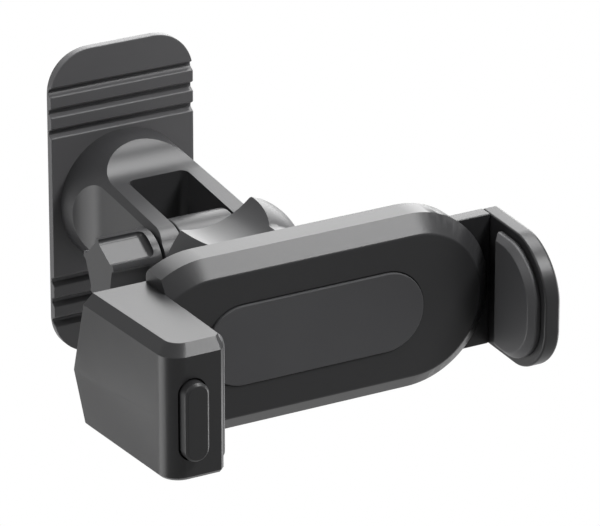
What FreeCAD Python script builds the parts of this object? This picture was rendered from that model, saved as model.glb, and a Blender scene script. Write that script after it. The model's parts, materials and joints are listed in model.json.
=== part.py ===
"""Adhesive phone holder: stick-on plate, fork arm, ball joint and spring jaw cradle.

Millimetres. The origin is the middle of the adhesive face, +Z is up, +X is to the
right as seen from the front, and the holder reaches out along -Y. Depths below are
distances in front of the adhesive face, so a depth D lies at y = -D.
"""
import FreeCAD
import Part
import math
import os

V = FreeCAD.Vector

# Driving sizes
PLATE_WIDTH = 32.0
PLATE_HEIGHT = 65.2
BODY_HALF_STRAIGHT = 22.0
BODY_RADIUS = 17.9
BODY_REAR = 70.7
BALL_RADIUS = 7.5

# Clearances: past is how far a cutting shape runs beyond what it cuts
TINY = 0.001
PAST = 1.0
HOLE_FIT = 0.05
THREAD_SLACK = 0.02

# Adhesive pad and plate
PAD_THICK = 0.8
PLATE_THICK = 1.8
PLATE_FRONT = PAD_THICK + PLATE_THICK
PLATE_CORNER = 9.0
PAD_INSET = 0.5
GROOVE_PITCH = 4.37
GROOVE_FIRST = 15.85
GROOVE_WIDTH = 2.0
GROOVE_DEEP = 1.05
GROOVE_FLOOR = 0.7
GROOVES = 3
BASE_SCREW_HEAD = 2.95
BASE_SCREW_SHANK = 1.5
BASE_SCREW_SINK = 1.4
BASE_SCREW_REACH = 8.0

# Fork arm and pivot
BOSS_RADIUS = 14.2
BOSS_TAPER = 0.06
PIVOT_DEPTH = 34.4
PIVOT_Z = -0.3
EAR_RADIUS = 7.2
FORK_HALF = 11.0
SLOT_HALF = 6.6
SLOT_BACK = 16.5
SLOT_CORNER = 1.6
CUT_RADIUS = 12.0
SIDE_CUT_END = 15.0
TOP_CUT_END = 17.0
CUT_TURN = 52.0
FORK_LEAN = 6.0

# Pivot arm, bolt and knob
BARREL_RADIUS = 7.1
BARREL_GAP = 0.3
NECK_RADIUS = 0.5 * BALL_RADIUS
BOLT_RADIUS = 1.95
BOLT_FIT = 0.07
NUT_FLATS = 7.0
NUT_THICK = 3.0
KNOB_RADIUS = 6.5
KNOB_LENGTH = 10.8
KNOB_GAP = 0.4
KNOB_SIDES = 5
KNOB_SIDE_FIRST = 60.0
KNOB_COLLAR = 1.5
KNOB_LAND = 0.8
KNOB_HOLLOW_DEEP = 1.6
KNOB_HOLLOW_ROUND = 1.2
BOLT_SUNK = 3.0
BOLT_SHORT = 0.2

# Ball joint
NECK_REACH = 1.08 * BALL_RADIUS
BALL_DEPTH = PIVOT_DEPTH + EAR_RADIUS + NECK_REACH
LINER_GAP = 0.06
LINER_THICK = 0.75
LINER_OUT = BALL_RADIUS + LINER_GAP + LINER_THICK
SEAT_RADIUS = LINER_OUT + LINER_GAP
COLLET_WALL = 1.0
COLLET_RADIUS = SEAT_RADIUS + COLLET_WALL
RING_FROM = 0.52 * BALL_RADIUS
RING_TO = 0.20 * BALL_RADIUS
CUP_FROM = 0.61 * BALL_RADIUS
COLLET_REAR = BALL_DEPTH - 0.15 * BALL_RADIUS
MOUTH_FROM = 0.58 * BALL_RADIUS
MOUTH_FLARE = 0.7
RING_NUT_REAR = BALL_DEPTH - 0.62 * BALL_RADIUS
RING_NUT_FRONT = BALL_DEPTH + 1.65 * BALL_RADIUS
RING_NUT_RADIUS = 15.0
RING_NUT_NECK = 12.7
RING_NUT_HUB = 8.9
RING_LOBE_REAR = BALL_DEPTH - 0.42 * BALL_RADIUS
RING_LOBE_FRONT = BALL_DEPTH + 1.10 * BALL_RADIUS
RING_LOBE_ROUND = 0.6
RING_FLUTES = 4
RING_FLUTE_FIRST = 104.0
RING_FLUTE_RADIUS = 16.0
RING_FLUTE_FLOOR = COLLET_RADIUS + 1.2 * COLLET_WALL
RING_FLUTE_CENTRE = RING_FLUTE_FLOOR + RING_FLUTE_RADIUS
THREAD_FIT = 0.08
COLLET_GAP = 0.3

# Cradle body
COVER_EDGE = 0.9
COVER_FLAT = 0.5
COVER_FRONT = BODY_REAR + COVER_EDGE + COVER_FLAT
BODY_SIDE = 6.2
BODY_EDGE = BODY_REAR + BODY_SIDE
BEVEL_DEEP = 3.0
BODY_FRONT = BODY_EDGE + BEVEL_DEEP
BEVEL_INSET = 3.4
WALL = 1.6
STEM_RADIUS = 13.6
STEM_GAP_REAR = 0.35
STEM_REAR = RING_NUT_FRONT + STEM_GAP_REAR
STEM_HOLLOW = STEM_RADIUS - 1.4 * WALL
SOCKET_END = STEM_REAR + WALL
CENTRE_PAD_HALF = 15.5
CENTRE_PAD_RADIUS = 8.15
CENTRE_PAD_RISE = 0.45
CENTRE_PAD_SUNK = 0.6
SCREW_X = 19.0
SCREW_Z = 12.4
SCREW_HEAD = 1.9
SCREW_SHANK = 1.0
SCREW_SINK = 0.6
SCREW_PROUD = 0.2
SCREW_REACH = 4.5
POST_RADIUS = 2.2
STOP_THICK = 1.2
STOP_HALF = 1.9

# Left jaw
JAW_IN = -31.2
JAW_OUT_FRONT = -43.2
JAW_OUT_REAR = -44.4
JAW_RIDGE = -46.6
JAW_REAR = BODY_REAR + 0.3
JAW_REACH = 21.7
JAW_FRONT = BODY_FRONT + JAW_REACH
JAW_TOP = 13.0
JAW_BOTTOM = -13.8
JAW_RIDGE_Z = -1.6
JAW_CHAMFER = 2.0
JAW_LOWER_CHAMFER = 0.8
JAW_INNER_CHAMFER = 0.9
JAW_CORNER = 4.0
JAW_WALL = 1.9
LEFT_PAD_THICK = 0.9
LEFT_PAD_REAR = BODY_FRONT + 0.12 * JAW_REACH
LEFT_PAD_INSET = 1.6
LEFT_PAD_DROP = 0.5
LEFT_PAD_CORNER = 2.0
LEFT_PAD_EDGE = 0.3

# Depths of the slide and its rack
SLIDE_FIT = 0.25
SLIDE_THICK = 3.15
SLIDE_REAR = COVER_FRONT + SLIDE_FIT
SLIDE_FRONT = SLIDE_REAR + SLIDE_THICK
RACK_DROP = 1.2
RACK_FRONT = SLIDE_FRONT - RACK_DROP

# Release button and latch
BUTTON_X = -38.0
BUTTON_Z = -1.6
BUTTON_WIDTH = 5.0
BUTTON_HEIGHT = 15.7
BUTTON_GAP = 0.35
BUTTON_PROUD = 2.1
BUTTON_FRONT = JAW_FRONT + BUTTON_PROUD
FLANGE_RISE = 0.8
FLANGE_THICK = 1.2
FLANGE_ROOM = 1.5
FLANGE_GAP = 0.3
BUTTON_EDGE = 0.5
WEB_HALF = 1.0
WEB_DEEP = 4.0
STEM_X = -34.5
BUTTON_STEM = 1.3
STEM_GAP = 0.25
PAWL_X = -25.6
PAWL_RISE = 1.6
PAWL_DEPTH = RACK_FRONT + PAWL_RISE
PAWL_HALF = 2.2
PAWL_GAP = 0.4
PAWL_THICK = 1.2
PAWL_HUB = 1.2
PAWL_PIN = 0.7
PAWL_TIP_X = -15.6
PAWL_TOOTH = 0.7
PAWL_TIP_GAP = 0.1
PIN_HALF = PAWL_HALF + PAWL_GAP + WALL

# Right jaw and its slide
RIGHT_IN = 41.2
RIGHT_THICK = 3.5
RIGHT_HALF = 13.6
RIGHT_CORNER = 10.5
RIGHT_EDGE = 0.8
RIGHT_REACH = 16.0
RIGHT_FRONT = BODY_FRONT + RIGHT_REACH
RIGHT_PAD_THICK = 2.3
RIGHT_PAD_INSET = 1.7
RIGHT_PAD_ROUND = 1.2
SLIDE_WIDE_FROM = 23.5
TONGUE_HALF = 7.0
TONGUE_FROM = 4.0
RACK_HALF = 2.4
RACK_FROM = -31.0
RACK_PITCH = 2.0
RACK_DEEP = 0.8
RACK_FLANK = 0.75

# Springs
WIRE_RADIUS = 0.3
WIRE_SIDES = 8
EJECT_Z = 4.8
EJECT_RADIUS = 1.5
EJECT_FROM = -11.5
EJECT_TURNS = 7
LATCH_TURNS = 4
LATCH_RADIUS = 1.1


def box(x0, x1, d0, d1, z0, z1):
    """A box between two depths."""
    return Part.makeBox(x1 - x0, d1 - d0, z1 - z0, V(x0, -d1, z0))


def rod_y(radius, d0, d1, x=0.0, z=0.0):
    """A cylinder along the depth."""
    return Part.makeCylinder(radius, d1 - d0, V(x, -d0, z), V(0, -1, 0))


def rod_x(radius, x0, x1, depth, z):
    """A cylinder along X."""
    return Part.makeCylinder(radius, x1 - x0, V(x0, -depth, z), V(1, 0, 0))


def rod_z(radius, half, x, depth):
    """An upright cylinder, centred on Z = 0."""
    return Part.makeCylinder(radius, 2 * half, V(x, -depth, -half), V(0, 0, 1))


def cone_y(r0, r1, d0, d1):
    """A cone along the depth, on the X = Z = 0 axis."""
    return Part.makeCone(r0, r1, d1 - d0, V(0, -d0, 0), V(0, -1, 0))


def prism_x(points, x0, x1):
    """Extrudes an outline of (depth, z) points along X."""
    wire = Part.makePolygon([V(x0, -d, z) for d, z in points] + [V(x0, -points[0][0], points[0][1])])
    return Part.Face(wire).extrude(V(x1 - x0, 0, 0))


def obround_face(half, radius, depth, z=0.0, x=0.0, upright=False):
    """A stadium shaped face square to the depth."""
    def at(u, w):
        return V(x + (w if upright else u), -depth, z + (u if upright else w))
    edges = [
        Part.LineSegment(at(-half, radius), at(half, radius)).toShape(),
        Part.Arc(at(half, radius), at(half + radius, 0), at(half, -radius)).toShape(),
        Part.LineSegment(at(half, -radius), at(-half, -radius)).toShape(),
        Part.Arc(at(-half, -radius), at(-half - radius, 0), at(-half, radius)).toShape(),
    ]
    return Part.Face(Part.Wire(edges))


def obround(half, radius, d0, d1, z=0.0, x=0.0, upright=False):
    """A stadium shaped block between two depths."""
    return obround_face(half, radius, d0, z, x, upright).extrude(V(0, d0 - d1, 0))


def obround_loft(half, r0, r1, d0, d1):
    """A stadium shaped block that narrows from one depth to the next."""
    wires = [obround_face(half, r0, d0).OuterWire, obround_face(half, r1, d1).OuterWire]
    return Part.makeLoft(wires, True, True)


def rounded_plate(width, height, corner, d0, d1):
    """A plate with round corners between two depths."""
    block = box(-width / 2, width / 2, d0, d1, -height / 2, height / 2)
    edges = [e for e in block.Edges if abs(e.tangentAt(e.FirstParameter).y) > 0.99]
    return block.makeFillet(corner, edges)


def sphere(radius):
    """A ball about the ball joint's middle."""
    return Part.makeSphere(radius, V(0, -BALL_DEPTH, 0))


def coil(radius, turns, length):
    """A coil spring standing on the origin along +Z, its wire a flat sided bar to keep it light."""
    pitch = (length - 2 * WIRE_RADIUS) / turns
    helix = Part.makeHelix(pitch, pitch * turns, radius)
    corners = []
    for k in range(WIRE_SIDES + 1):
        turn = math.radians(360.0 / WIRE_SIDES * k)
        corners.append(V(radius + WIRE_RADIUS * math.cos(turn), 0, WIRE_RADIUS * math.sin(turn)))
    spring = Part.Wire(helix).makePipeShell([Part.makePolygon(corners)], True, True)
    spring.translate(V(0, 0, WIRE_RADIUS))
    return spring


def hexagon_x(flats, x0, x1, depth, z):
    """A hexagonal bar along X."""
    corner = flats / math.sqrt(3)
    points = []
    for k in range(6):
        turn = math.radians(60 * k)
        points.append((depth + corner * math.cos(turn), z + corner * math.sin(turn)))
    return prism_x(points, x0, x1)


def make_adhesive_pad():
    return rounded_plate(PLATE_WIDTH - 2 * PAD_INSET, PLATE_HEIGHT - 2 * PAD_INSET,
                         PLATE_CORNER - PAD_INSET, 0.0, PAD_THICK)


def make_base_plate():
    plate = rounded_plate(PLATE_WIDTH, PLATE_HEIGHT, PLATE_CORNER, PAD_THICK, PLATE_FRONT)
    half = GROOVE_WIDTH / 2
    for side in (-1, 1):
        for k in range(GROOVES):
            z = side * (GROOVE_FIRST + k * GROOVE_PITCH)
            outline = [(PLATE_FRONT, z - half), (PLATE_FRONT, z + half),
                       (PLATE_FRONT - GROOVE_DEEP, z + GROOVE_FLOOR / 2),
                       (PLATE_FRONT - GROOVE_DEEP, z - GROOVE_FLOOR / 2)]
            plate = plate.cut(prism_x(outline, -PLATE_WIDTH, PLATE_WIDTH))
    plate = plate.cut(rod_y(BASE_SCREW_SHANK + HOLE_FIT, 0.0, PLATE_FRONT + PAST))
    return plate.cut(cone_y(BASE_SCREW_HEAD + HOLE_FIT, BASE_SCREW_SHANK + HOLE_FIT,
                            PAD_THICK, PAD_THICK + BASE_SCREW_SINK))


def make_base_screw():
    head = cone_y(BASE_SCREW_HEAD, BASE_SCREW_SHANK, PAD_THICK, PAD_THICK + BASE_SCREW_SINK)
    return head.fuse(rod_y(BASE_SCREW_SHANK, PAD_THICK, PLATE_FRONT + BASE_SCREW_REACH))


def sweep_edges(end, lean, radius, turn, place):
    """A concave arc that leaves a straight run at end and climbs back towards the plate.

    lean is how far the straight run falls towards the tip, in radians, and place turns a
    (depth, height) pair into a point. Returns the edge and its climbing end.
    """
    along = (math.cos(lean), -math.sin(lean))
    across = (math.sin(lean), math.cos(lean))
    points = []
    for share in (0.0, 0.5, 1.0):
        swing = math.radians(turn) * share
        climb = radius * (1 - math.cos(swing))
        back = radius * math.sin(swing)
        points.append((end[0] + across[0] * climb - along[0] * back,
                       end[1] + across[1] * climb - along[1] * back))
    return Part.Arc(*[place(*point) for point in points]).toShape(), points[2]


def path(place, points):
    """Straight edges through (depth, height) pairs."""
    spots = [place(*point) for point in points]
    return [Part.LineSegment(a, b).toShape() for a, b in zip(spots[:-1], spots[1:])]


def fork_side():
    """The fork's outline seen from the side, extruded across its whole width."""
    lean = math.radians(FORK_LEAN)
    foot = BOSS_RADIUS + 2 * PAST

    def upper(depth, height):
        return V(-foot, -depth, PIVOT_Z * depth / PIVOT_DEPTH + height)

    def lower(depth, height):
        return V(-foot, -depth, PIVOT_Z * depth / PIVOT_DEPTH - height)

    tip = (PIVOT_DEPTH + EAR_RADIUS * math.sin(lean), EAR_RADIUS * math.cos(lean))
    end = (TOP_CUT_END, tip[1] + (tip[0] - TOP_CUT_END) * math.tan(lean))
    edges = []
    for place in (upper, lower):
        sweep, climb = sweep_edges(end, lean, CUT_RADIUS, CUT_TURN, place)
        edges += path(place, [(PLATE_FRONT, 0), (PLATE_FRONT, foot), (climb[0], foot), climb])
        edges += [sweep] + path(place, [end, tip])
    edges.append(Part.Arc(upper(*tip), V(-foot, -PIVOT_DEPTH - EAR_RADIUS, PIVOT_Z), lower(*tip)).toShape())
    return Part.Face(Part.Wire(Part.__sortEdges__(edges))).extrude(V(2 * foot, 0, 0))


def fork_plan():
    """The fork's outline seen from above, extruded over its whole height."""
    foot = BOSS_RADIUS + 2 * PAST
    reach = PIVOT_DEPTH + EAR_RADIUS + PAST

    def right(depth, width):
        return V(width, -depth, -foot)

    def left(depth, width):
        return V(-width, -depth, -foot)

    end = (SIDE_CUT_END, FORK_HALF)
    edges = path(right, [(reach, FORK_HALF), (reach, -FORK_HALF)])
    for place in (right, left):
        sweep, climb = sweep_edges(end, 0.0, CUT_RADIUS, CUT_TURN, place)
        edges += path(place, [(PLATE_FRONT, 0), (PLATE_FRONT, foot), (climb[0], foot), climb])
        edges += [sweep] + path(place, [end, (reach, FORK_HALF)])
    return Part.Face(Part.Wire(Part.__sortEdges__(edges))).extrude(V(0, 0, 2 * foot))


def make_fork_arm():
    tip = PIVOT_DEPTH + EAR_RADIUS + PAST
    foot = BOSS_RADIUS + 2 * PAST
    cone = cone_y(BOSS_RADIUS, BOSS_RADIUS - BOSS_TAPER * (tip - PLATE_FRONT), PLATE_FRONT, tip)
    arm = cone.common(fork_side()).common(fork_plan())
    slot = box(-SLOT_HALF, SLOT_HALF, SLOT_BACK, tip + PAST, -foot, foot)
    backs = [e for e in slot.Edges if abs(e.tangentAt(e.FirstParameter).z) > 0.99
             and abs(e.CenterOfMass.y + SLOT_BACK) < 0.01]
    arm = arm.cut(slot.makeFillet(SLOT_CORNER, backs))
    arm = arm.cut(rod_x(BOLT_RADIUS + BOLT_FIT, -FORK_HALF - PAST, FORK_HALF + PAST, PIVOT_DEPTH, PIVOT_Z))
    pocket = hexagon_x(NUT_FLATS + 2 * HOLE_FIT, FORK_HALF - NUT_THICK - HOLE_FIT, FORK_HALF + PAST,
                       PIVOT_DEPTH, PIVOT_Z)
    arm = arm.cut(pocket)
    bore = rod_y(BASE_SCREW_SHANK + THREAD_SLACK, PLATE_FRONT - PAST, PLATE_FRONT + BASE_SCREW_REACH + PAST)
    return arm.cut(bore)


def make_pivot_nut():
    nut = hexagon_x(NUT_FLATS, FORK_HALF - NUT_THICK, FORK_HALF, PIVOT_DEPTH, PIVOT_Z)
    return nut.cut(rod_x(BOLT_RADIUS + BOLT_FIT, 0, FORK_HALF + PAST, PIVOT_DEPTH, PIVOT_Z))


def make_pivot_arm():
    half = SLOT_HALF - BARREL_GAP
    arm = rod_x(BARREL_RADIUS, -half, half, PIVOT_DEPTH, PIVOT_Z)
    arm = arm.fuse(rod_y(NECK_RADIUS, PIVOT_DEPTH, BALL_DEPTH))
    arm = arm.fuse(sphere(BALL_RADIUS))
    return arm.cut(rod_x(BOLT_RADIUS + BOLT_FIT, -half - PAST, half + PAST, PIVOT_DEPTH, PIVOT_Z))


def knob_span():
    """The knob's two ends along X."""
    near = -FORK_HALF - KNOB_GAP
    return near - KNOB_LENGTH, near


def knob_hollow(start, end):
    """A finger hollow on the knob's front side, open at its start and rounded at its end."""
    half = KNOB_RADIUS * math.sin(math.pi / KNOB_SIDES) - KNOB_LAND / 2
    floor = PIVOT_DEPTH + KNOB_RADIUS - KNOB_HOLLOW_DEEP
    block = box(start, end, floor, PIVOT_DEPTH + KNOB_RADIUS + PAST, PIVOT_Z - half, PIVOT_Z + half)
    rounded = []
    for edge in block.Edges:
        middle = edge.CenterOfMass
        on_floor = abs(middle.y + floor) < TINY and middle.x > start + TINY
        at_end = abs(middle.x - end) < TINY and abs(abs(middle.z - PIVOT_Z) - half) < TINY
        if on_floor or at_end:
            rounded.append(edge)
    return block.makeFillet(KNOB_HOLLOW_ROUND, rounded)


def make_thumb_knob():
    far, near = knob_span()
    knob = rod_x(KNOB_RADIUS, far, near, PIVOT_DEPTH, PIVOT_Z)
    hollow = knob_hollow(far - PAST, near - KNOB_COLLAR)
    for k in range(KNOB_SIDES):
        turned = hollow.copy()
        turn = KNOB_SIDE_FIRST + 360.0 / KNOB_SIDES * k
        turned.rotate(V(0, -PIVOT_DEPTH, PIVOT_Z), V(1, 0, 0), -turn)
        knob = knob.cut(turned)
    return knob.cut(rod_x(BOLT_RADIUS, far + BOLT_SUNK, near + PAST, PIVOT_DEPTH, PIVOT_Z))


def make_pivot_bolt():
    far = knob_span()[0]
    return rod_x(BOLT_RADIUS, far + BOLT_SUNK, FORK_HALF - BOLT_SHORT, PIVOT_DEPTH, PIVOT_Z)


def ball_slab(near, far):
    """A wide slab between two depths counted from the ball's middle."""
    wide = 2 * LINER_OUT
    return box(-wide, wide, BALL_DEPTH + near, BALL_DEPTH + far, -wide, wide)


def make_ball_ring():
    shell = sphere(LINER_OUT).cut(sphere(BALL_RADIUS + LINER_GAP))
    return shell.common(ball_slab(-RING_FROM, -RING_TO))


def make_ball_pad():
    shell = sphere(LINER_OUT).cut(sphere(BALL_RADIUS + LINER_GAP))
    return shell.common(ball_slab(CUP_FROM, 2 * LINER_OUT))


def nut_blank():
    """The turned body of the ring nut: widest near the rear, narrower towards the cradle."""
    shoulder = RING_LOBE_REAR + RING_LOBE_ROUND
    brow = RING_NUT_RADIUS - RING_LOBE_ROUND
    middle = (shoulder + RING_LOBE_FRONT) / 2
    swell = RING_NUT_NECK + 0.75 * (RING_NUT_RADIUS - RING_NUT_NECK)
    centre_rear = V(0, -RING_NUT_REAR, 0)
    hub = V(RING_NUT_HUB, -RING_NUT_REAR, 0)
    root = V(RING_FLUTE_FLOOR, -RING_LOBE_REAR, 0)
    rear = V(brow, -RING_LOBE_REAR, 0)
    round_middle = V(brow + RING_LOBE_ROUND * math.sin(math.pi / 4),
                     -shoulder + RING_LOBE_ROUND * math.cos(math.pi / 4), 0)
    crest = V(RING_NUT_RADIUS, -shoulder, 0)
    waist = V(RING_NUT_NECK, -RING_LOBE_FRONT, 0)
    front = V(RING_NUT_NECK, -RING_NUT_FRONT, 0)
    centre_front = V(0, -RING_NUT_FRONT, 0)
    edges = [Part.makeLine(centre_rear, hub), Part.makeLine(hub, root), Part.makeLine(root, rear),
             Part.Arc(rear, round_middle, crest).toShape(),
             Part.Arc(crest, V(swell, -middle, 0), waist).toShape(),
             Part.makeLine(waist, front), Part.makeLine(front, centre_front),
             Part.makeLine(centre_front, centre_rear)]
    face = Part.Face(Part.Wire(edges))
    return face.revolve(V(0, 0, 0), V(0, 1, 0), 360)


def make_ring_nut():
    nut = nut_blank()
    for k in range(RING_FLUTES):
        turn = math.radians(RING_FLUTE_FIRST + 360.0 / RING_FLUTES * k)
        x = RING_FLUTE_CENTRE * math.cos(turn)
        z = RING_FLUTE_CENTRE * math.sin(turn)
        nut = nut.cut(rod_y(RING_FLUTE_RADIUS, RING_NUT_REAR - PAST, RING_NUT_FRONT + PAST, x, z))
    nut = nut.cut(rod_y(COLLET_RADIUS + THREAD_FIT, COLLET_REAR - COLLET_GAP, RING_NUT_FRONT + PAST))
    nut = nut.cut(sphere(SEAT_RADIUS))
    mouth = math.sqrt(SEAT_RADIUS ** 2 - MOUTH_FROM ** 2)
    flare = cone_y(mouth + MOUTH_FLARE, mouth, RING_NUT_REAR - HOLE_FIT, BALL_DEPTH - MOUTH_FROM + HOLE_FIT)
    return nut.cut(flare)


def make_rear_cover():
    rim = BODY_REAR + COVER_EDGE
    cover = obround_loft(BODY_HALF_STRAIGHT, BODY_RADIUS - COVER_EDGE, BODY_RADIUS, BODY_REAR, rim)
    cover = cover.fuse(obround(BODY_HALF_STRAIGHT, BODY_RADIUS, rim, COVER_FRONT))
    cover = cover.fuse(rod_y(STEM_RADIUS, STEM_REAR, rim))
    cover = cover.fuse(rod_y(COLLET_RADIUS, COLLET_REAR, STEM_REAR + PAST))
    cover = cover.cut(rod_y(STEM_HOLLOW, SOCKET_END, COVER_FRONT + PAST))
    cover = cover.cut(sphere(SEAT_RADIUS))
    cover = cover.cut(rod_y(SEAT_RADIUS, COLLET_REAR - PAST, BALL_DEPTH))
    for x, z in screw_places():
        cover = cover.cut(rod_y(SCREW_HEAD + HOLE_FIT, BODY_REAR - PAST, BODY_REAR + SCREW_SINK, x, z))
        cover = cover.cut(rod_y(SCREW_SHANK + 2 * HOLE_FIT, BODY_REAR, COVER_FRONT + PAST, x, z))
    cover = cover.cut(beyond_jaw())
    for side in (-1, 1):
        z = side * EJECT_Z
        stop = box(EJECT_FROM - STOP_THICK, EJECT_FROM, rim, SLIDE_FRONT,
                   z - STOP_HALF, z + STOP_HALF)
        cover = cover.fuse(stop)
    return cover.removeSplitter()


def screw_places():
    """The four cover screws."""
    return [(sx * SCREW_X, sz * SCREW_Z) for sx in (-1, 1) for sz in (-1, 1)]


def make_front_shell():
    inner = BODY_RADIUS - WALL
    edge = BODY_EDGE - WALL / 2
    ceiling = BODY_FRONT - WALL
    rooted = ceiling + WALL / 4
    shell = obround(BODY_HALF_STRAIGHT, BODY_RADIUS, COVER_FRONT, BODY_EDGE)
    shell = shell.fuse(obround_loft(BODY_HALF_STRAIGHT, BODY_RADIUS, BODY_RADIUS - BEVEL_INSET,
                                    BODY_EDGE, BODY_FRONT))
    hollow = obround(BODY_HALF_STRAIGHT, inner, COVER_FRONT - PAST, edge)
    narrow = inner - BEVEL_INSET + WALL / 2
    hollow = hollow.fuse(obround_loft(BODY_HALF_STRAIGHT, inner, narrow, edge, ceiling))
    end_wall = beyond_jaw()
    end_wall.translate(V(WALL, 0, 0))
    shell = shell.cut(hollow.cut(end_wall)).cut(beyond_jaw())
    pawl_half = PAWL_HALF + PAWL_GAP
    shell = shell.cut(box(JAW_IN - PAST, JAW_IN + WALL + PAST, COVER_FRONT - PAST, BODY_EDGE + PAWL_GAP,
                          -pawl_half, pawl_half))
    for x, z in screw_places():
        shell = shell.fuse(rod_y(POST_RADIUS, COVER_FRONT, rooted, x, z))
    for side in (-1, 1):
        middle = side * (PAWL_HALF + PAWL_GAP + WALL / 2)
        ear = box(PAWL_X - WALL, PAWL_X + WALL, RACK_FRONT + PAWL_GAP, rooted,
                  middle - WALL / 2, middle + WALL / 2)
        shell = shell.fuse(ear)
    for x, z in screw_places():
        bore = rod_y(SCREW_SHANK, COVER_FRONT - PAST, COVER_FRONT + SCREW_REACH + HOLE_FIT, x, z)
        shell = shell.cut(bore)
    shell = shell.cut(rod_z(PAWL_PIN, 2 * PIN_HALF, PAWL_X, PAWL_DEPTH))
    slot_half = RIGHT_HALF + SLIDE_FIT
    shell = shell.cut(box(SLIDE_WIDE_FROM, RIGHT_IN, COVER_FRONT - PAST, SLIDE_FRONT + SLIDE_FIT,
                          -slot_half, slot_half))
    recess = obround(CENTRE_PAD_HALF, CENTRE_PAD_RADIUS, BODY_FRONT - CENTRE_PAD_SUNK, BODY_FRONT + PAST)
    return shell.cut(recess).removeSplitter()


def make_centre_pad():
    return obround(CENTRE_PAD_HALF, CENTRE_PAD_RADIUS - HOLE_FIT, BODY_FRONT - CENTRE_PAD_SUNK,
                   BODY_FRONT + CENTRE_PAD_RISE)


def make_cover_screws():
    screws = []
    for x, z in screw_places():
        head = rod_y(SCREW_HEAD, BODY_REAR - SCREW_PROUD, BODY_REAR + SCREW_SINK, x, z)
        shank = rod_y(SCREW_SHANK - THREAD_SLACK, BODY_REAR, COVER_FRONT + SCREW_REACH, x, z)
        screws.append(head.fuse(shank))
    return Part.makeCompound(screws)


def jaw_wire(z, out_rear, inset):
    """The left jaw's outline in plan at one height, drawn in on the left and front by an inset."""
    left = JAW_OUT_FRONT + inset
    front = JAW_FRONT - inset
    bend = JAW_CORNER - inset * 0.5
    knee = bend * (1 - math.sqrt(0.5))

    def at(x, depth):
        return V(x, -depth, z)

    edges = path(at, [(left, front - bend), (out_rear + inset, JAW_REAR), (JAW_IN, JAW_REAR),
                      (JAW_IN, front - JAW_INNER_CHAMFER), (JAW_IN - JAW_INNER_CHAMFER, front),
                      (left + bend, front)])
    corner = Part.Arc(at(left + bend, front), at(left + knee, front - knee), at(left, front - bend))
    return Part.Wire(edges + [corner.toShape()])


def beyond_jaw():
    """Everything to the left of the fixed jaw's inner face, to trim the cradle's shells there."""
    reach = BODY_HALF_STRAIGHT + BODY_RADIUS + PAST
    half = BODY_RADIUS + PAST
    return box(-reach, JAW_IN, BODY_REAR - PAST, BODY_FRONT + PAST, -half, half)


def button_outline(rise, d0, d1):
    """The button's upright stadium, grown by a rise."""
    radius = BUTTON_WIDTH / 2
    return obround(BUTTON_HEIGHT / 2 - radius, radius + rise, d0, d1, BUTTON_Z, BUTTON_X, True)


def make_left_jaw():
    heights = [(JAW_BOTTOM, JAW_OUT_REAR, JAW_LOWER_CHAMFER),
               (JAW_BOTTOM + JAW_LOWER_CHAMFER, JAW_OUT_REAR, 0.0),
               (JAW_RIDGE_Z, JAW_RIDGE, 0.0),
               (JAW_TOP - JAW_CHAMFER, JAW_OUT_REAR, 0.0),
               (JAW_TOP, JAW_OUT_REAR, JAW_CHAMFER)]
    jaw = Part.makeLoft([jaw_wire(*row) for row in heights], True, True)
    pawl_half = PAWL_HALF + PAWL_GAP
    pocket = box(STEM_X - BUTTON_STEM - PAWL_GAP, JAW_IN + PAST, COVER_FRONT, BODY_EDGE + PAWL_GAP,
                 -pawl_half, pawl_half)
    jaw = jaw.cut(pocket)
    jaw = jaw.cut(rod_y(BUTTON_STEM + PAWL_GAP, COVER_FRONT, BODY_EDGE + PAST, STEM_X, BUTTON_Z))
    half = BUTTON_HEIGHT / 2 + JAW_WALL
    room = box(BUTTON_X - BUTTON_WIDTH / 2 - FLANGE_ROOM, STEM_X + BUTTON_STEM + BUTTON_GAP, BODY_EDGE,
               JAW_FRONT - JAW_WALL, BUTTON_Z - half, BUTTON_Z + half)
    jaw = jaw.cut(room)
    return jaw.cut(button_outline(BUTTON_GAP, JAW_FRONT - JAW_WALL - PAST, JAW_FRONT + PAST))


def make_left_jaw_pad():
    pad = box(JAW_IN, JAW_IN + LEFT_PAD_THICK, LEFT_PAD_REAR, JAW_FRONT - LEFT_PAD_INSET,
              JAW_BOTTOM + LEFT_PAD_INSET, JAW_TOP - LEFT_PAD_DROP)
    edges = [e for e in pad.Edges if abs(e.tangentAt(e.FirstParameter).x) > 0.99]
    pad = pad.makeFillet(LEFT_PAD_CORNER, edges)
    face = [e for e in pad.Edges if abs(e.CenterOfMass.x - JAW_IN - LEFT_PAD_THICK) < 0.01]
    return pad.makeChamfer(LEFT_PAD_EDGE, face)


def make_release_button():
    flange_front = JAW_FRONT - JAW_WALL - FLANGE_GAP
    root = flange_front - FLANGE_THICK / 2
    button = button_outline(0.0, root, BUTTON_FRONT)
    rim = [e for e in button.Edges if abs(e.CenterOfMass.y + BUTTON_FRONT) < 0.01]
    button = button.makeChamfer(BUTTON_EDGE, rim)
    button = button.fuse(button_outline(FLANGE_RISE, flange_front - FLANGE_THICK, flange_front))
    stem = rod_y(BUTTON_STEM, PAWL_DEPTH + PAWL_THICK / 2 + STEM_GAP, root, STEM_X, BUTTON_Z)
    web = box(BUTTON_X, STEM_X, flange_front - WEB_DEEP, root, BUTTON_Z - WEB_HALF, BUTTON_Z + WEB_HALF)
    return button.fuse(stem).fuse(web).removeSplitter()


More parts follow.
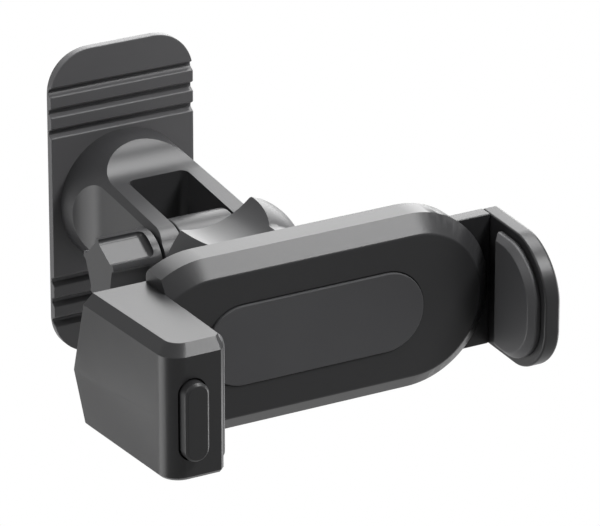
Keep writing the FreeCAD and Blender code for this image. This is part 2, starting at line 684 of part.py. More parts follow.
def make_latch_pawl():
    d0 = PAWL_DEPTH - PAWL_THICK / 2
    d1 = PAWL_DEPTH + PAWL_THICK / 2
    pawl = box(STEM_X - BUTTON_STEM, PAWL_TIP_X + PAWL_TOOTH, d0, d1, -PAWL_HALF, PAWL_HALF)
    pawl = pawl.fuse(rod_z(PAWL_HUB, PAWL_HALF, PAWL_X, PAWL_DEPTH))
    tip_top = RACK_FRONT + PAWL_TIP_GAP
    outline = [(PAWL_TIP_X - PAWL_TOOTH, d1), (PAWL_TIP_X + PAWL_TOOTH, d1),
               (PAWL_TIP_X + PAWL_TOOTH / 2, tip_top), (PAWL_TIP_X, tip_top)]
    corners = [V(x, -d, -PAWL_HALF) for x, d in outline]
    tip = Part.Face(Part.makePolygon(corners + [corners[0]])).extrude(V(0, 0, 2 * PAWL_HALF))
    pawl = pawl.fuse(tip)
    return pawl.cut(rod_z(PAWL_PIN + HOLE_FIT, 2 * PAWL_HALF, PAWL_X, PAWL_DEPTH)).removeSplitter()


def make_latch_pin():
    return rod_z(PAWL_PIN, PIN_HALF, PAWL_X, PAWL_DEPTH)


def make_latch_spring():
    spring = coil(LATCH_RADIUS, LATCH_TURNS, PAWL_DEPTH - PAWL_THICK / 2 - COVER_FRONT)
    spring.rotate(V(0, 0, 0), V(1, 0, 0), 90)
    spring.translate(V(STEM_X, -COVER_FRONT, 0))
    return spring


def make_eject_springs():
    depth = (SLIDE_REAR + SLIDE_FRONT) / 2
    coils = []
    for side in (-1, 1):
        spring = coil(EJECT_RADIUS, EJECT_TURNS, TONGUE_FROM - EJECT_FROM)
        spring.rotate(V(0, 0, 0), V(0, 1, 0), 90)
        spring.translate(V(EJECT_FROM, -depth, side * EJECT_Z))
        coils.append(spring)
    return Part.makeCompound(coils)


def make_jaw_slide():
    slide = box(SLIDE_WIDE_FROM, RIGHT_IN, SLIDE_REAR, SLIDE_FRONT, -RIGHT_HALF, RIGHT_HALF)
    slide = slide.fuse(box(TONGUE_FROM, SLIDE_WIDE_FROM + PAST, SLIDE_REAR, SLIDE_FRONT,
                           -TONGUE_HALF, TONGUE_HALF))
    slide = slide.fuse(box(RACK_FROM, TONGUE_FROM + PAST, SLIDE_REAR, RACK_FRONT, -RACK_HALF, RACK_HALF))
    count = int((PAWL_TIP_X - RACK_FROM) / RACK_PITCH)
    for k in range(count):
        x = RACK_FROM + (k + 0.5) * RACK_PITCH
        flank = x + RACK_PITCH * RACK_FLANK
        corners = [V(x, -RACK_FRONT, -TONGUE_HALF), V(flank, -RACK_FRONT, -TONGUE_HALF),
                   V(x, -RACK_FRONT + RACK_DEEP, -TONGUE_HALF)]
        tooth = Part.Face(Part.makePolygon(corners + [corners[0]]))
        slide = slide.cut(tooth.extrude(V(0, 0, 2 * TONGUE_HALF)))
    return slide.removeSplitter()


def jaw_face(x, inset, rear):
    """The right jaw's D shaped face in a plane of one X."""
    half = RIGHT_HALF - inset
    front = RIGHT_FRONT - inset
    bend = RIGHT_CORNER - inset * 0.5
    knee = bend / math.sqrt(2)
    top = V(x, -front + bend, half)
    tip = V(x, -front, half - bend)
    edges = [
        Part.LineSegment(V(x, -rear, half), top).toShape(),
        Part.Arc(top, V(x, -front + bend - knee, half - bend + knee), tip).toShape(),
        Part.LineSegment(tip, V(x, -front, bend - half)).toShape(),
        Part.Arc(V(x, -front, bend - half), V(x, -front + bend - knee, bend - half - knee),
                 V(x, -front + bend, -half)).toShape(),
        Part.LineSegment(V(x, -front + bend, -half), V(x, -rear, -half)).toShape(),
        Part.LineSegment(V(x, -rear, -half), V(x, -rear, half)).toShape(),
    ]
    return Part.Face(Part.Wire(edges))


def make_right_jaw():
    wall = jaw_face(RIGHT_IN, 0.0, SLIDE_REAR).extrude(V(RIGHT_THICK, 0, 0))
    outer = [e for e in wall.Edges if abs(e.CenterOfMass.x - RIGHT_IN - RIGHT_THICK) < 0.01
             and e.CenterOfMass.y < -SLIDE_REAR - RIGHT_EDGE / 2]
    return wall.makeFillet(RIGHT_EDGE, outer)


def make_right_jaw_pad():
    rear = BODY_FRONT + SLIDE_FIT
    step = RIGHT_PAD_THICK - RIGHT_PAD_ROUND
    pad = jaw_face(RIGHT_IN, RIGHT_PAD_INSET, rear).extrude(V(-step, 0, 0))
    crown = jaw_face(RIGHT_IN - RIGHT_PAD_THICK, RIGHT_PAD_INSET + RIGHT_PAD_ROUND, rear + RIGHT_PAD_ROUND)
    wires = [jaw_face(RIGHT_IN - step, RIGHT_PAD_INSET, rear).OuterWire, crown.OuterWire]
    return pad.fuse(Part.makeLoft(wires, True, True)).removeSplitter()


MAKERS = {
    "adhesive_pad": make_adhesive_pad,
    "base_plate": make_base_plate,
    "base_screw": make_base_screw,
    "fork_arm": make_fork_arm,
    "pivot_nut": make_pivot_nut,
    "pivot_arm": make_pivot_arm,
    "pivot_bolt": make_pivot_bolt,
    "thumb_knob": make_thumb_knob,
    "ball_ring": make_ball_ring,
    "ball_pad": make_ball_pad,
    "ring_nut": make_ring_nut,
    "rear_cover": make_rear_cover,
    "front_shell": make_front_shell,
    "centre_pad": make_centre_pad,
    "cover_screws": make_cover_screws,
    "left_jaw": make_left_jaw,
    "left_jaw_pad": make_left_jaw_pad,
    "release_button": make_release_button,
    "latch_pawl": make_latch_pawl,
    "latch_pin": make_latch_pin,
    "latch_spring": make_latch_spring,
    "eject_springs": make_eject_springs,
    "jaw_slide": make_jaw_slide,
    "right_jaw": make_right_jaw,
    "right_jaw_pad": make_right_jaw_pad,
}

os.makedirs("parts", exist_ok=True)
for name, maker in MAKERS.items():
    shape = maker()
    shape.exportStep(os.path.join("parts", name + ".step"))
    print(name, "valid", shape.isValid(), "solids", len(shape.Solids), "volume", round(shape.Volume, 1))
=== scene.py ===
"""Looks of a stick-on phone holder: satin charcoal mouldings, rubber pads and a white studio."""

import json
import math

import bmesh
import bpy
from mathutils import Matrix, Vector


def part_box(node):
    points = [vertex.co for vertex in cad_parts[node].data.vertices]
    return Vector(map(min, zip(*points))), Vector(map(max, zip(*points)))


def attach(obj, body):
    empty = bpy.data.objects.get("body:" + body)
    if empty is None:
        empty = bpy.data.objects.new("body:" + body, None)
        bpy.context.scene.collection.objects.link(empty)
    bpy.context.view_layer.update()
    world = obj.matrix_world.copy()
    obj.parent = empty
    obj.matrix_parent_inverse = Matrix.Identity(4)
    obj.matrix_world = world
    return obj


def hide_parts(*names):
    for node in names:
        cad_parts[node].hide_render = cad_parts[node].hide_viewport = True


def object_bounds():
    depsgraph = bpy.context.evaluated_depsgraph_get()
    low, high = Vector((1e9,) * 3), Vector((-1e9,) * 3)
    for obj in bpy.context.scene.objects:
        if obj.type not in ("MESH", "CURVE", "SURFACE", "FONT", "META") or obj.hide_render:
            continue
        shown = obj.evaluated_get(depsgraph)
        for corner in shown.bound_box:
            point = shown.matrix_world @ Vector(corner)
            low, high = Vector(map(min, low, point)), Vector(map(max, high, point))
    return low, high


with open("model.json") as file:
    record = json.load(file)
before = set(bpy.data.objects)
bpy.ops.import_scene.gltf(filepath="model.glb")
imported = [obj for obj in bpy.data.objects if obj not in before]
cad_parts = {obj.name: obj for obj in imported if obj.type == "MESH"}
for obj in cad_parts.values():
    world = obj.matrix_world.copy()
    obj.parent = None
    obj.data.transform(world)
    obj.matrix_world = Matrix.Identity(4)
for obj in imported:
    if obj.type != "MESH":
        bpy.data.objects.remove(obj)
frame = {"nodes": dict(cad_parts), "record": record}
CAD_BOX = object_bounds()

bl_info = {
    "name": "Adhesive phone holder",
    "version": (1, 0, 0),
    "blender": (4, 5, 0),
    "location": "View3D > Sidebar > Holder",
    "description": "Dresses the packed phone holder with its mouldings, pads and studio",
    "category": "Object",
}

MM = 0.001
WHITE = (1.0, 1.0, 1.0, 1.0)
FLOOR_GREY = (0.6, 0.6, 0.6, 1.0)
FLOOR_HALF = 4.0
SPECULAR = 0.18
MOTTLE = 0.07
MOTTLE_SCALE = 90.0
ROUGHNESS_SWING = 0.03
GRAIN_STRENGTH = 0.6
STEEL_GRAIN_SCALE = 1500.0
STEEL_ROUGHNESS = 0.3
STEEL_SWING = 0.12
WELD = 0.002 * MM
FLAT_ANGLE = math.radians(0.6)
SMOOTH_ANGLE = math.radians(32)
RECESS_TAPER = 0.7
FACES_BACK = 0.99
COVER_STARTS = 9.0 * MM
SLIDE_SHOWS_FROM = 24.0 * MM
JAW_SKIN = Vector((2.6, 1.2, 2.6)) * MM
SENSOR_WIDTH = 36.0
FAR_END = 20.0
NODE_BODY = {
    node: body
    for body, nodes in frame["record"]["behaviour"]["bodies"].items()
    for node in nodes
}
NODE_SLOT = {row["node"]: row["material_slot"] for row in frame["record"]["subparts"]}


class HolderFinish(bpy.types.PropertyGroup):
    """Colours and grain of the mouldings."""

    plastic: bpy.props.FloatVectorProperty(
        name="Plastic", description="Colour of the cradle and jaws",
        default=(0.017, 0.017, 0.0178), size=3, subtype="COLOR", min=0.0, max=1.0)
    arm: bpy.props.FloatVectorProperty(
        name="Arm plastic", description="Colour of the fork, knob and nut",
        default=(0.026, 0.026, 0.0271), size=3, subtype="COLOR", min=0.0, max=1.0)
    plate: bpy.props.FloatVectorProperty(
        name="Plate", description="Colour of the flexible plate",
        default=(0.07, 0.0693, 0.0718), size=3, subtype="COLOR", min=0.0, max=1.0)
    face: bpy.props.FloatVectorProperty(
        name="Button", description="Colour of the release button",
        default=(0.016, 0.016, 0.0168), size=3, subtype="COLOR", min=0.0, max=1.0)
    rubber: bpy.props.FloatVectorProperty(
        name="Grip rubber", description="Colour of the jaws' soft pads",
        default=(0.055, 0.055, 0.057), size=3, subtype="COLOR", min=0.0, max=1.0)
    centre: bpy.props.FloatVectorProperty(
        name="Centre pad", description="Colour of the cradle's centre pad",
        default=(0.045, 0.045, 0.047), size=3, subtype="COLOR", min=0.0, max=1.0)
    foam: bpy.props.FloatVectorProperty(
        name="Foam tape", description="Colour of the adhesive pad",
        default=(0.03, 0.03, 0.031), size=3, subtype="COLOR", min=0.0, max=1.0)
    liner: bpy.props.FloatVectorProperty(
        name="Liner", description="Colour of the ball liners and the pawl",
        default=(0.34, 0.34, 0.33), size=3, subtype="COLOR", min=0.0, max=1.0)
    steel: bpy.props.FloatVectorProperty(
        name="Steel", description="Colour of screws, pins and springs",
        default=(0.55, 0.55, 0.56), size=3, subtype="COLOR", min=0.0, max=1.0)
    grain: bpy.props.FloatProperty(
        name="Grain size", description="Size of the moulded grain",
        default=0.35 * MM, min=0.05 * MM, max=2.0 * MM, unit="LENGTH")
    grain_depth: bpy.props.FloatProperty(
        name="Grain depth", description="Height of the moulded grain",
        default=0.012 * MM, min=0.0, max=0.1 * MM, unit="LENGTH")


class HolderEdges(bpy.types.PropertyGroup):
    """Edge rounding of the mouldings and their small forms."""

    plate: bpy.props.FloatProperty(
        name="Plate edge", description="Rounding of the plate's edges",
        default=0.28 * MM, min=0.0, max=1.0 * MM, unit="LENGTH")
    fork: bpy.props.FloatProperty(
        name="Fork edge", description="Rounding of the fork's edges",
        default=0.4 * MM, min=0.0, max=1.0 * MM, unit="LENGTH")
    knob: bpy.props.FloatProperty(
        name="Knob edge", description="Rounding of the knob's lobes",
        default=0.35 * MM, min=0.0, max=1.0 * MM, unit="LENGTH")
    nut: bpy.props.FloatProperty(
        name="Nut edge", description="Rounding of the ring nut's flutes",
        default=0.35 * MM, min=0.0, max=1.0 * MM, unit="LENGTH")
    body: bpy.props.FloatProperty(
        name="Body edge", description="Rounding of the cradle body's edges",
        default=0.3 * MM, min=0.0, max=1.0 * MM, unit="LENGTH")
    jaw: bpy.props.FloatProperty(
        name="Jaw edge", description="Rounding of the jaws' edges",
        default=0.45 * MM, min=0.0, max=1.0 * MM, unit="LENGTH")
    pad: bpy.props.FloatProperty(
        name="Pad edge", description="Rounding of the rubber pads",
        default=0.25 * MM, min=0.0, max=1.0 * MM, unit="LENGTH")
    cushion: bpy.props.FloatProperty(
        name="Cushion edge", description="Rounding of the sliding jaw's cushion",
        default=0.9 * MM, min=0.0, max=1.5 * MM, unit="LENGTH")
    jaw_drop: bpy.props.FloatProperty(
        name="Jaw drop", description="How much lower the sliding jaw's front is than its slide",
        default=1.2 * MM, min=0.0, max=2.0 * MM, unit="LENGTH")
    jaw_round: bpy.props.FloatProperty(
        name="Jaw round", description="How far the sliding jaw's corners draw back into a rounder outline",
        default=1.6 * MM, min=0.0, max=3.0 * MM, unit="LENGTH")
    cross_arm: bpy.props.FloatProperty(
        name="Cross arm", description="Reach of a screw's driver recess from its middle",
        default=1.2 * MM, min=0.1 * MM, max=1.6 * MM, unit="LENGTH")
    cross_half: bpy.props.FloatProperty(
        name="Cross half width", description="Half the width of a driver recess's arms",
        default=0.28 * MM, min=0.05 * MM, max=0.6 * MM, unit="LENGTH")
    cross_deep: bpy.props.FloatProperty(
        name="Cross depth", description="Depth of a driver recess",
        default=0.5 * MM, min=0.05 * MM, max=0.7 * MM, unit="LENGTH")


class HolderStage(bpy.types.PropertyGroup):
    """Camera, floor and lamps."""

    target: bpy.props.FloatVectorProperty(
        name="Aim", description="Point that the camera looks at",
        default=(0.0189, -0.036, -0.0066), size=3, subtype="TRANSLATION")
    distance: bpy.props.FloatProperty(
        name="Distance", description="Camera's distance from its aim",
        default=1.04, min=0.1, unit="LENGTH")
    azimuth: bpy.props.FloatProperty(
        name="Azimuth", description="Camera's turn to the holder's left",
        default=math.radians(29.45), subtype="ANGLE")
    elevation: bpy.props.FloatProperty(
        name="Elevation", description="Camera's height angle",
        default=math.radians(22.88), subtype="ANGLE")
    lens: bpy.props.FloatProperty(
        name="Lens", description="Focal length for a 36 mm sensor",
        default=316.3, min=10.0, subtype="DISTANCE_CAMERA")
    shift: bpy.props.FloatProperty(
        name="Shift", description="Sideways camera shift", default=0.02)
    floor_drop: bpy.props.FloatProperty(
        name="Floor drop", description="Gap from the holder down to the floor",
        default=0.6, min=0.0, unit="LENGTH")
    front_watts: bpy.props.FloatProperty(
        name="Front lamp", description="Power of the soft box above the front",
        default=11.0, min=0.0, subtype="POWER")
    front_size: bpy.props.FloatProperty(
        name="Front lamp size", description="Side of the soft box above the front",
        default=0.3, min=0.05, unit="LENGTH")
    front_place: bpy.props.FloatVectorProperty(
        name="Front place", description="Front soft box's place from the aim",
        default=(0.453, -0.485, 0.744), size=3, subtype="TRANSLATION")
    back_watts: bpy.props.FloatProperty(
        name="Back lamp", description="Power of the broad soft box behind the holder",
        default=15.0, min=0.0, subtype="POWER")
    back_size: bpy.props.FloatProperty(
        name="Back lamp size", description="Side of the broad soft box behind the holder",
        default=1.0, min=0.05, unit="LENGTH")
    back_place: bpy.props.FloatVectorProperty(
        name="Back place", description="Back soft box's place from the aim",
        default=(0.54, 0.96, 0.47), size=3, subtype="TRANSLATION")
    right_watts: bpy.props.FloatProperty(
        name="Right lamp", description="Power of the soft box on the right",
        default=8.0, min=0.0, subtype="POWER")
    right_size: bpy.props.FloatProperty(
        name="Right lamp size", description="Side of the soft box on the right",
        default=0.7, min=0.05, unit="LENGTH")
    right_place: bpy.props.FloatVectorProperty(
        name="Right place", description="Right soft box's place from the aim",
        default=(0.95, -0.12, -0.25), size=3, subtype="TRANSLATION")
    top_watts: bpy.props.FloatProperty(
        name="Top lamp", description="Power of the overhead soft box",
        default=15.0, min=0.0, subtype="POWER")
    top_size: bpy.props.FloatProperty(
        name="Top lamp size", description="Side of the overhead soft box",
        default=0.5, min=0.05, unit="LENGTH")
    top_place: bpy.props.FloatVectorProperty(
        name="Top place", description="Overhead soft box's place from the aim",
        default=(0.35, 0.12, 0.92), size=3, subtype="TRANSLATION")
    left_watts: bpy.props.FloatProperty(
        name="Left lamp", description="Power of the low soft box behind the left side",
        default=11.0, min=0.0, subtype="POWER")
    left_size: bpy.props.FloatProperty(
        name="Left lamp size", description="Side of the low soft box behind the left side",
        default=0.8, min=0.05, unit="LENGTH")
    left_place: bpy.props.FloatVectorProperty(
        name="Left place", description="Left soft box's place from the aim",
        default=(-0.9, 0.3, -0.45), size=3, subtype="TRANSLATION")
    high_watts: bpy.props.FloatProperty(
        name="High lamp", description="Power of the small soft box above the left side",
        default=3.0, min=0.0, subtype="POWER")
    high_size: bpy.props.FloatProperty(
        name="High lamp size", description="Side of the small soft box above the left side",
        default=0.35, min=0.05, unit="LENGTH")
    high_place: bpy.props.FloatVectorProperty(
        name="High place", description="High soft box's place from the aim",
        default=(-0.82, -0.11, 0.52), size=3, subtype="TRANSLATION")
    ambient: bpy.props.FloatProperty(
        name="Ambient", description="Strength of the even light all round",
        default=0.05, min=0.0, max=1.0)


class Wire:
    """A shader socket that takes part in sums."""

    def __init__(self, shades, socket):
        self.shades = shades
        self.socket = socket

    def maths(self, operation, first, second):
        """Adds a Math node and returns its value."""
        return self.shades.node("ShaderNodeMath", {"operation": operation}, {0: first, 1: second}, "Value")

    def __add__(self, other):
        return self.maths("ADD", self, other)

    __radd__ = __add__

    def __mul__(self, other):
        return self.maths("MULTIPLY", self, other)

    __rmul__ = __mul__


class Shades:
    """A material's or world's node tree."""

    def __init__(self, tree):
        self.tree = tree
        self.tree.nodes.clear()

    def node(self, kind, settings, sockets, output):
        """Adds a node, sets it up, fills its sockets and returns one output as a Wire."""
        made = self.tree.nodes.new(kind)
        for key, value in settings.items():
            setattr(made, key, value)
        for key, value in sockets.items():
            if isinstance(value, Wire):
                self.tree.links.new(value.socket, made.inputs[key])
            else:
                made.inputs[key].default_value = value
        return Wire(self, made.outputs[output]) if output is not None else None


def moulded_finish(name, colour, roughness, grain, depth):
    """A satin moulding with a fine grain and slight mottling."""
    material = bpy.data.materials.new(name)
    material.use_nodes = True
    shades = Shades(material.node_tree)
    place = shades.node("ShaderNodeTexCoord", {}, {}, "Object")
    fine = shades.node(
        "ShaderNodeTexNoise", {}, {"Vector": place, "Scale": 1.0 / grain, "Detail": 2.0}, "Fac")
    broad = shades.node(
        "ShaderNodeTexNoise", {}, {"Vector": place, "Scale": MOTTLE_SCALE, "Detail": 3.0}, "Fac")
    dark = tuple((1.0 - MOTTLE) * part for part in colour) + (1.0,)
    light = tuple((1.0 + MOTTLE) * part for part in colour) + (1.0,)
    tint = shades.node("ShaderNodeMix", {"data_type": "RGBA"}, {0: broad, 6: dark, 7: light}, 2)
    bump = shades.node(
        "ShaderNodeBump", {}, {"Strength": GRAIN_STRENGTH, "Distance": depth, "Height": fine}, "Normal")
    surface = shades.node(
        "ShaderNodeBsdfPrincipled", {},
        {"Base Color": tint, "Roughness": roughness - ROUGHNESS_SWING + 2 * ROUGHNESS_SWING * fine,
         "Normal": bump, "Specular IOR Level": SPECULAR}, "BSDF")
    shades.node("ShaderNodeOutputMaterial", {}, {"Surface": surface}, None)
    return material


def metal_finish(name, colour):
    """Zinc plated steel."""
    material = bpy.data.materials.new(name)
    material.use_nodes = True
    shades = Shades(material.node_tree)
    place = shades.node("ShaderNodeTexCoord", {}, {}, "Object")
    fine = shades.node("ShaderNodeTexNoise", {}, {"Vector": place, "Scale": STEEL_GRAIN_SCALE}, "Fac")
    surface = shades.node(
        "ShaderNodeBsdfPrincipled", {},
        {"Base Color": tuple(colour) + (1.0,), "Metallic": 1.0,
         "Roughness": STEEL_ROUGHNESS + STEEL_SWING * fine}, "BSDF")
    shades.node("ShaderNodeOutputMaterial", {}, {"Surface": surface}, None)
    return material


def finish_for(context, slot):
    """The material of a record slot, made once."""
    name = "holder_" + slot
    made = bpy.data.materials.get(name)
    if made:
        return made
    look = context.scene.holder_finish
    if slot == "steel":
        return metal_finish(name, look.steel)
    # Each row is a colour, a roughness and a share of the grain's depth.
    choices = {
        "foam": (look.foam, 0.85, 0.8),
        "soft_plastic": (look.plate, 0.4, 1.0),
        "arm_plastic": (look.arm, 0.34, 0.8),
        "cradle_plastic": (look.plastic, 0.33, 0.8),
        "button_plastic": (look.face, 0.36, 0.6),
        "grip_rubber": (look.rubber, 0.42, 0.6),
        "centre_pad": (look.centre, 0.66, 0.6),
        "liner": (look.liner, 0.4, 0.4),
    }
    colour, roughness, share = choices[slot]
    return moulded_finish(name, tuple(colour), roughness, look.grain, look.grain_depth * share)


def show_node(context, node):
    """Gives a CAD node its finish and leaves its mesh alone."""
    piece = frame["nodes"][node]
    if not piece.material_slots:
        raise RuntimeError(node + " has no material slot")
    for holder in piece.material_slots:
        holder.link = "OBJECT"
        holder.material = finish_for(context, NODE_SLOT[node])


def seat_piece(context, name, bm, node, finish=None):
    """Turns a bmesh into a smooth shaded piece shown in place of a CAD node."""
    mesh = bpy.data.meshes.new(name)
    bm.to_mesh(mesh)
    bm.free()
    for polygon in mesh.polygons:
        polygon.use_smooth = True
    mesh.set_sharp_from_angle(angle=SMOOTH_ANGLE)
    piece = bpy.data.objects.new(name, mesh)
    context.scene.collection.objects.link(piece)
    mesh.materials.append(finish_for(context, finish or NODE_SLOT[node]))
    weighted = piece.modifiers.new("even_shading", "WEIGHTED_NORMAL")
    weighted.keep_sharp = True
    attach(piece, NODE_BODY[node])
    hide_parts(node)


def plain_copy(node):
    """A bmesh of a CAD node with its flat faces joined."""
    bm = bmesh.new()
    bm.from_mesh(frame["nodes"][node].data)
    bmesh.ops.remove_doubles(bm, verts=bm.verts, dist=WELD)
    bmesh.ops.dissolve_limit(bm, angle_limit=FLAT_ANGLE, verts=bm.verts, edges=bm.edges,
                             use_dissolve_boundaries=False)
    return bm


def dress(context, node, edge, wanted=None, turn=28.0, segments=3, finish=None, reshape=None):
    """A copy of a CAD node, reshaped if asked, with its sharp edges rounded, shown in its place."""
    bm = plain_copy(node)
    if reshape:
        for vert in bm.verts:
            vert.co = reshape(vert.co)
        bm.normal_update()
    sharp = []
    for side in bm.edges:
        if not side.is_manifold or not side.is_convex:
            continue
        if side.calc_face_angle(0.0) < math.radians(turn):
            continue
        middle = (side.verts[0].co + side.verts[1].co) / 2
        if wanted is None or wanted(middle):
            sharp.append(side)
    if edge > 0 and sharp:
        bmesh.ops.bevel(bm, geom=sharp, offset=edge, offset_type="OFFSET", segments=segments,
                        profile=0.5, affect="EDGES", clamp_overlap=True, material=-1)
    seat_piece(context, "dressed_" + node, bm, node, finish)


def cross_points(arm, half):
    """The corners of a plus sign, in order."""
    quarter = [(arm, -half), (arm, half), (half, half)]
    corners = []
    for turn in range(4):
        for across, up in quarter:
            for _ in range(turn):
                across, up = -up, across
            corners.append((across, up))
    return corners


def sink_cross(bm, face, arm, half, deep):
    """Cuts a cross shaped driver recess into a round face that looks along +Y."""
    middle = face.calc_center_median()
    outer = list(face.edges)
    bmesh.ops.delete(bm, geom=[face], context="FACES_ONLY")
    rim = []
    floor = []
    for across, up in cross_points(arm, half):
        rim.append(bm.verts.new(middle + Vector((across, 0.0, up))))
        floor.append(bm.verts.new(middle + Vector((RECESS_TAPER * across, -deep, RECESS_TAPER * up))))
    count = len(rim)
    inner = [bm.edges.new((rim[k], rim[(k + 1) % count])) for k in range(count)]
    bmesh.ops.triangle_fill(bm, use_beauty=True, edges=outer + inner)
    for k in range(count):
        after = (k + 1) % count
        bm.faces.new((rim[k], rim[after], floor[after], floor[k]))
    bm.faces.new(floor)


def dress_cover_screws(context):
    """The four cover screws with cross recesses, shown in place of the plain ones."""
    edges = context.scene.holder_edges
    bm = plain_copy("cover_screws")
    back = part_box("cover_screws")[1][1] - 0.01 * MM
    heads = [face for face in bm.faces
             if face.normal.y > FACES_BACK and face.calc_center_median().y > back]
    for face in heads:
        sink_cross(bm, face, edges.cross_arm, edges.cross_half, edges.cross_deep)
    bmesh.ops.recalc_face_normals(bm, faces=bm.faces)
    seat_piece(context, "dressed_cover_screws", bm, "cover_screws")


class HOLDER_OT_base(bpy.types.Operator):
    """Dress the grooved plate, its adhesive pad and its screw"""

    bl_idname = "holder.base"
    bl_label = "Stick-on plate"

    def execute(self, context):
        edges = context.scene.holder_edges
        dress(context, "base_plate", edges.plate)
        show_node(context, "adhesive_pad")
        show_node(context, "base_screw")
        return {"FINISHED"}


class HOLDER_OT_fork(bpy.types.Operator):
    """Dress the fork arm and its captive nut"""

    bl_idname = "holder.fork"
    bl_label = "Fork arm"

    def execute(self, context):
        dress(context, "fork_arm", context.scene.holder_edges.fork)
        show_node(context, "pivot_nut")
        return {"FINISHED"}


class HOLDER_OT_pivot(bpy.types.Operator):
    """Dress the barrel, ball and ball liners"""

    bl_idname = "holder.pivot"
    bl_label = "Pivot arm and ball"

    def execute(self, context):
        dress(context, "pivot_arm", context.scene.holder_edges.knob)
        for node in ("ball_ring", "ball_pad"):
            show_node(context, node)
        return {"FINISHED"}


class HOLDER_OT_knob(bpy.types.Operator):
    """Dress the thumb knob and its bolt"""

    bl_idname = "holder.knob"
    bl_label = "Thumb knob"

    def execute(self, context):
        dress(context, "thumb_knob", context.scene.holder_edges.knob)
        show_node(context, "pivot_bolt")
        return {"FINISHED"}


class HOLDER_OT_ring_nut(bpy.types.Operator):
    """Dress the fluted ring nut"""

    bl_idname = "holder.ring_nut"
    bl_label = "Ring nut"

    def execute(self, context):
        dress(context, "ring_nut", context.scene.holder_edges.nut)
        return {"FINISHED"}


class HOLDER_OT_cradle(bpy.types.Operator):
    """Dress the cradle's shells, its centre pad and its screws"""

    bl_idname = "holder.cradle"
    bl_label = "Cradle body"

    def execute(self, context):
        edges = context.scene.holder_edges
        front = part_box("front_shell")[0][1]
        dress(context, "front_shell", edges.body, lambda spot: spot.y < front + 0.1 * MM)
        dress(context, "rear_cover", edges.body, lambda spot: spot.y > front + COVER_STARTS)
        dress(context, "centre_pad", edges.pad, finish="centre_pad")
        dress_cover_screws(context)
        for node in ("latch_pin", "latch_spring", "eject_springs", "latch_pawl"):
            show_node(context, node)
        return {"FINISHED"}


class HOLDER_OT_left_jaw(bpy.types.Operator):
    """Dress the fixed jaw, its soft strip and the release button"""

    bl_idname = "holder.left_jaw"
    bl_label = "Fixed jaw and button"

    def execute(self, context):
        edges = context.scene.holder_edges
        low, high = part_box("left_jaw")
        middle = (Vector(low) + Vector(high)) / 2
        room = (Vector(high) - Vector(low)) / 2 - JAW_SKIN

        def outside(spot):
            """True near the jaw's outer faces, so that its inner pockets stay sharp."""
            away = spot - middle
            return any(abs(away[i]) > room[i] for i in range(3))

        dress(context, "left_jaw", edges.jaw, outside, turn=20.0)
        dress(context, "left_jaw_pad", edges.pad)
        dress(context, "release_button", edges.pad)
        return {"FINISHED"}


class HOLDER_OT_right_jaw(bpy.types.Operator):
    """Dress the sliding jaw, its slide and its cushion"""

    bl_idname = "holder.right_jaw"
    bl_label = "Sliding jaw"

    def execute(self, context):
        edges = context.scene.holder_edges
        slide_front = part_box("jaw_slide")[0][1]
        low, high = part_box("right_jaw")

        def rounder(spot):
            """Draws the corners back and lowers the front, more and more away from the slide."""
            share = min(max((slide_front - spot.y) / (slide_front - low[1]), 0.0), 1.0)
            back = edges.jaw_round * share * (spot.z / high[2]) ** 2
            return Vector((spot.x, spot.y + back, spot.z - edges.jaw_drop * share))

        dress(context, "right_jaw", edges.jaw, reshape=rounder)
        dress(context, "right_jaw_pad", edges.cushion, turn=20.0, segments=4, reshape=rounder)
        dress(context, "jaw_slide", edges.plate, lambda spot: spot.x > SLIDE_SHOWS_FROM)
        return {"FINISHED"}


def soft_box(context, name, place, aim, size, watts):
    """A square soft lamp that faces a point."""
    lamp = bpy.data.lights.new(name, "AREA")
    lamp.shape = "SQUARE"
    lamp.size = size
    lamp.energy = watts
    piece = bpy.data.objects.new(name, lamp)
    piece.location = place
    piece.rotation_euler = (Vector(aim) - Vector(place)).to_track_quat("-Z", "Y").to_euler()
    context.scene.collection.objects.link(piece)


def seen_white(shades, seen, unseen):
    """Mixes two shaders: seen for camera, mirror and clear rays, unseen for the rest."""
    camera = shades.node("ShaderNodeLightPath", {}, {}, "Is Camera Ray")
    glossy = shades.node("ShaderNodeLightPath", {}, {}, "Is Glossy Ray")
    clear = shades.node("ShaderNodeLightPath", {}, {}, "Is Transmission Ray")
    return shades.node(
        "ShaderNodeMixShader", {}, {0: camera + glossy + clear, 1: unseen, 2: seen}, "Shader")


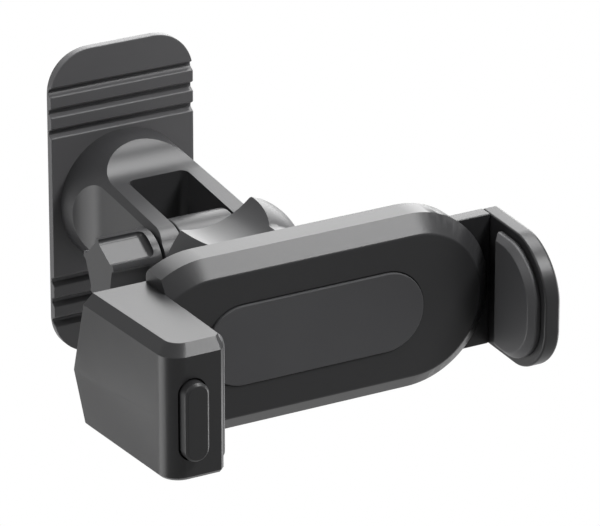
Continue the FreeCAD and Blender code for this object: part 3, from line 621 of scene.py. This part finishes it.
class HOLDER_OT_stage(bpy.types.Operator):
    """Set up the floor, the lamps, the white surround and the camera"""

    bl_idname = "holder.stage"
    bl_label = "Studio"

    def execute(self, context):
        scene = context.scene
        stage = scene.holder_stage
        target = Vector(stage.target)
        low = Vector(CAD_BOX[0])
        self.make_floor(context, low.z - stage.floor_drop)
        self.make_world(scene, stage.ambient)
        for side in ("front", "back", "right", "top", "left", "high"):
            place = target + Vector(getattr(stage, side + "_place"))
            soft_box(context, side + "_box", place, target,
                     getattr(stage, side + "_size"), getattr(stage, side + "_watts"))
        lens = bpy.data.cameras.new("photo_camera")
        lens.lens = stage.lens
        lens.sensor_width = SENSOR_WIDTH
        lens.shift_x = stage.shift
        lens.clip_end = FAR_END
        camera = bpy.data.objects.new("photo_camera", lens)
        away = Vector((-math.sin(stage.azimuth) * math.cos(stage.elevation),
                       -math.cos(stage.azimuth) * math.cos(stage.elevation), math.sin(stage.elevation)))
        camera.location = target + away * stage.distance
        camera.rotation_euler = (-away).to_track_quat("-Z", "Y").to_euler()
        scene.collection.objects.link(camera)
        scene.camera = camera
        scene.view_settings.view_transform = "Standard"
        return {"FINISHED"}

    def make_floor(self, context, height):
        """A plain pale floor that looks white to the camera."""
        bm = bmesh.new()
        bmesh.ops.create_grid(bm, x_segments=1, y_segments=1, size=FLOOR_HALF)
        bmesh.ops.translate(bm, vec=(0.0, 0.0, height), verts=bm.verts)
        mesh = bpy.data.meshes.new("floor")
        bm.to_mesh(mesh)
        bm.free()
        floor = bpy.data.objects.new("floor", mesh)
        context.scene.collection.objects.link(floor)
        material = bpy.data.materials.new("pale_floor")
        material.use_nodes = True
        shades = Shades(material.node_tree)
        plain = shades.node("ShaderNodeBsdfDiffuse", {}, {"Color": FLOOR_GREY}, "BSDF")
        white = shades.node("ShaderNodeEmission", {}, {"Color": WHITE, "Strength": 1.0}, "Emission")
        both = seen_white(shades, white, plain)
        shades.node("ShaderNodeOutputMaterial", {}, {"Surface": both}, None)
        mesh.materials.append(material)

    def make_world(self, scene, ambient):
        """A dim even surround that looks white to the camera."""
        world = bpy.data.worlds.new("white_surround")
        world.use_nodes = True
        shades = Shades(world.node_tree)
        even = shades.node("ShaderNodeBackground", {}, {"Color": WHITE, "Strength": ambient}, "Background")
        white = shades.node("ShaderNodeBackground", {}, {"Color": WHITE, "Strength": 1.0}, "Background")
        both = seen_white(shades, white, even)
        shades.node("ShaderNodeOutputWorld", {}, {"Surface": both}, None)
        scene.world = world


PIECE_STEPS = ("base", "fork", "pivot", "knob", "ring_nut", "cradle", "left_jaw", "right_jaw", "stage")


class HOLDER_PT_panel(bpy.types.Panel):
    """Lists the holder's steps and sizes"""

    bl_idname = "HOLDER_PT_panel"
    bl_label = "Phone holder"
    bl_space_type = "VIEW_3D"
    bl_region_type = "UI"
    bl_category = "Holder"

    def draw(self, context):
        for step in PIECE_STEPS:
            self.layout.operator("holder." + step)
        for group in (context.scene.holder_finish, context.scene.holder_edges, context.scene.holder_stage):
            for key in group.__annotations__:
                self.layout.prop(group, key)


CLASSES = (
    HolderFinish, HolderEdges, HolderStage,
    HOLDER_OT_base, HOLDER_OT_fork, HOLDER_OT_pivot, HOLDER_OT_knob, HOLDER_OT_ring_nut,
    HOLDER_OT_cradle, HOLDER_OT_left_jaw, HOLDER_OT_right_jaw, HOLDER_OT_stage, HOLDER_PT_panel,
)


def register():
    for entry in CLASSES:
        bpy.utils.register_class(entry)
    bpy.types.Scene.holder_finish = bpy.props.PointerProperty(type=HolderFinish)
    bpy.types.Scene.holder_edges = bpy.props.PointerProperty(type=HolderEdges)
    bpy.types.Scene.holder_stage = bpy.props.PointerProperty(type=HolderStage)


def unregister():
    del bpy.types.Scene.holder_stage
    del bpy.types.Scene.holder_edges
    del bpy.types.Scene.holder_finish
    for entry in reversed(CLASSES):
        bpy.utils.unregister_class(entry)


def main():
    register()
    for step in PIECE_STEPS:
        getattr(bpy.ops.holder, step)()


if __name__ == "__main__":
    main()
